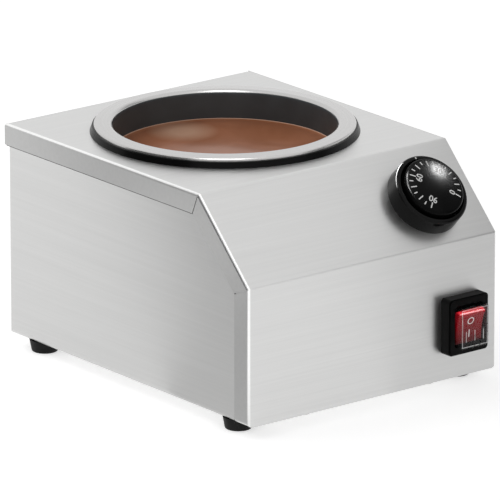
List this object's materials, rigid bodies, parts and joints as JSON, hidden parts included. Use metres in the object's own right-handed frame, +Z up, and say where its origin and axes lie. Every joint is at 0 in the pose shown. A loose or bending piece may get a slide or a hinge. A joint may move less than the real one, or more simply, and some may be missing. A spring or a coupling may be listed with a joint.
{
  "type": "chocolate melting tank",
  "caption": "Table-top chocolate melter: folded steel casing with a sloping dial panel, a round lift-out pan of melted chocolate and a capped rocker switch.",
  "frame": {"origin": "centre of the overall box on the plane that the feet stand on", "axes": "+Z up, +Y from the dial and switch side to the rear, +X to the right as seen from the front"},
  "size_m": [0.2, 0.2784, 0.1543],
  "materials": {
    "casing_steel": "brushed",
    "pan_steel": "satin",
    "well_steel": "satin",
    "fastener_steel": "plain",
    "collar_black": "smooth",
    "foot_rubber": "matt",
    "dial_plastic": "gloss",
    "switch_plastic": "satin",
    "cap_clear": "clear",
    "rocker_red": "gloss",
    "chocolate": "smooth, molten",
    "heater_metal": "dull",
    "insulation": "felted",
    "ceramic": "matt",
    "copper": "drawn",
    "earth_brass": "plain",
    "lead_brown": "matt",
    "lead_blue": "matt",
    "lead_green": "matt"
  },
  "bodies": {
    "housing": {"outer_cover": "casing_steel", "body_wrap": "casing_steel", "base_plate": "casing_steel", "heat_well": "well_steel", "bulb_clip": "well_steel", "thermostat_plate": "well_steel", "base_screws": "fastener_steel", "cover_screws": "fastener_steel", "foot_screws": "fastener_steel", "foot_nuts": "fastener_steel", "well_studs": "fastener_steel", "well_nuts": "fastener_steel", "band_bolt": "fastener_steel", "thermostat_screws": "fastener_steel", "terminal_screws": "fastener_steel", "cutout_blades": "fastener_steel", "thermostat_blades": "fastener_steel", "switch_blades": "fastener_steel", "pan_collar": "collar_black", "foot_front_left": "foot_rubber", "foot_front_right": "foot_rubber", "foot_rear_left": "foot_rubber", "foot_rear_right": "foot_rubber", "dial_bezel": "dial_plastic", "switch_frame": "switch_plastic", "switch_block": "switch_plastic", "gland_body": "switch_plastic", "gland_cap": "switch_plastic", "gland_lock_nut": "switch_plastic", "switch_cap": "cap_clear", "band_heater": "heater_metal", "insulation_jacket": "insulation", "insulation_pad": "insulation", "heater_posts": "ceramic", "thermal_cutout": "ceramic", "terminal_block": "ceramic", "thermostat_body": "ceramic", "sensor_bulb": "copper", "capillary_tube": "copper", "earth_stud": "earth_brass", "live_lead": "lead_brown", "control_lead": "lead_brown", "heater_lead": "lead_brown", "cutout_lead": "lead_brown", "neutral_lead": "lead_blue", "earth_lead": "lead_green"},
    "pan": {"lift_out_pan": "pan_steel", "chocolate_fill": "chocolate"},
    "dial": {"dial_knob": "dial_plastic", "thermostat_shaft": "fastener_steel"},
    "rocker": {"switch_rocker": "rocker_red"}
  },
  "joints": [
    {"name": "pan_lift", "type": "slide", "parent": "housing", "child": "pan", "axis": [0, 0, 1], "range_m": [0, 0.12]},
    {"name": "dial_turn", "type": "hinge", "parent": "housing", "child": "dial", "pos_m": [0.059, -0.10142, 0.12133], "axis": [0, -0.7071, 0.7071], "range_deg": [-141, 129]},
    {"name": "rocker_tilt", "type": "hinge", "parent": "housing", "child": "rocker", "pos_m": [0.0705, -0.12775, 0.044], "axis": [-1, 0, 0], "range_deg": [0, 22]}
  ]
}
